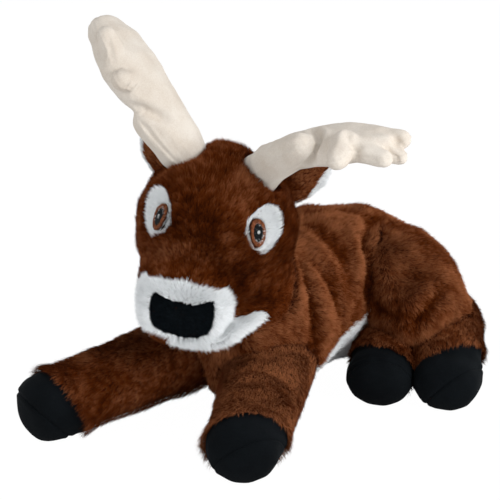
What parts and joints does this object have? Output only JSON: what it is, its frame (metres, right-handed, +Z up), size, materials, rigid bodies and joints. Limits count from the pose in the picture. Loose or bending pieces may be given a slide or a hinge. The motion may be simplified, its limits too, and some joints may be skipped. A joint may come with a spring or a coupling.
{
  "type": "plush toy deer",
  "caption": "Stuffed plush deer lying down, with its head turned, soft antlers, brown and white fur, black hooves and a black nose.",
  "frame": {"origin": "on the floor, in the middle of the flattened patch under the chest", "axes": "-Y is where the body's front end points, +X is the deer's left side, +Z is up"},
  "size_m": [0.3846, 0.5214, 0.4176],
  "materials": {
    "brown_plush": "long soft pile",
    "white_plush": "long soft pile",
    "cream_velour": "short nap",
    "black_velour": "short nap",
    "nose_plush": "short pile",
    "brown_thread": "satin embroidery",
    "dark_thread": "satin embroidery",
    "white_thread": "satin embroidery"
  },
  "bodies": {
    "trunk": {"body": "brown_plush", "belly_panel": "white_plush", "left_thigh": "brown_plush", "right_thigh": "brown_plush", "left_hind_leg": "brown_plush", "left_hind_hoof": "black_velour", "left_hind_sole": "black_velour", "right_hind_leg": "brown_plush", "right_hind_hoof": "black_velour", "right_hind_sole": "black_velour"},
    "head_group": {"head": "brown_plush", "nose_patch": "nose_plush", "muzzle_band": "white_plush", "chin_band": "white_plush", "left_eye_patch": "white_plush", "left_iris": "brown_thread", "left_pupil": "dark_thread", "left_eye_glint": "white_thread", "right_eye_patch": "white_plush", "right_iris": "brown_thread", "right_pupil": "dark_thread", "right_eye_glint": "white_thread"},
    "left_antler_group": {"left_antler": "cream_velour"},
    "right_antler_group": {"right_antler": "cream_velour"},
    "left_ear_group": {"left_ear": "brown_plush", "left_ear_lining": "white_plush"},
    "right_ear_group": {"right_ear": "brown_plush", "right_ear_lining": "white_plush"},
    "left_front_limb": {"left_front_leg": "brown_plush", "left_front_hoof": "black_velour", "left_front_sole": "black_velour"},
    "right_front_limb": {"right_front_leg": "brown_plush", "right_front_hoof": "black_velour", "right_front_sole": "black_velour"},
    "tail_group": {"tail": "brown_plush", "tail_lining": "white_plush"}
  },
  "joints": [
    {"name": "head_turn", "type": "hinge", "parent": "trunk", "child": "head_group", "pos_m": [-0.01512, -0.045, 0.20381], "axis": [0, 0, 1], "range_deg": [-10, 10], "stiffness_Nm_per_rad": 1},
    {"name": "left_antler_sway", "type": "hinge", "parent": "head_group", "child": "left_antler_group", "pos_m": [0.02423, -0.03153, 0.2621], "axis": [0.4065, -0.913, -0.0349], "range_deg": [-8, 8], "stiffness_Nm_per_rad": 1.5},
    {"name": "right_antler_sway", "type": "hinge", "parent": "head_group", "child": "right_antler_group", "pos_m": [-0.03731, -0.05924, 0.27039], "axis": [0.4065, -0.913, -0.0349], "range_deg": [-8, 8], "stiffness_Nm_per_rad": 1.5},
    {"name": "left_ear_flop", "type": "hinge", "parent": "head_group", "child": "left_ear_group", "pos_m": [0.02589, 0.02141, 0.22827], "axis": [0.6935, 0.3332, -0.6388], "range_deg": [-10, 10], "stiffness_Nm_per_rad": 0.1},
    {"name": "right_ear_flop", "type": "hinge", "parent": "head_group", "child": "right_ear_group", "pos_m": [-0.08489, -0.02848, 0.24318], "axis": [0.8107, 0.3428, 0.4747], "range_deg": [-10, 10], "stiffness_Nm_per_rad": 0.1},
    {"name": "left_front_leg_swing", "type": "hinge", "parent": "trunk", "child": "left_front_limb", "pos_m": [0.0294, -0.003, 0.05162], "axis": [0, 0, 1], "range_deg": [-6, 6], "stiffness_Nm_per_rad": 1.5},
    {"name": "right_front_leg_swing", "type": "hinge", "parent": "trunk", "child": "right_front_limb", "pos_m": [-0.06132, -0.0375, 0.05162], "axis": [0, 0, 1], "range_deg": [-6, 6], "stiffness_Nm_per_rad": 1.5},
    {"name": "tail_flop", "type": "hinge", "parent": "trunk", "child": "tail_group", "pos_m": [0.06048, 0.234, 0.09968], "axis": [0.8829, -0.4695, 0], "range_deg": [-12, 12], "stiffness_Nm_per_rad": 0.1}
  ]
}
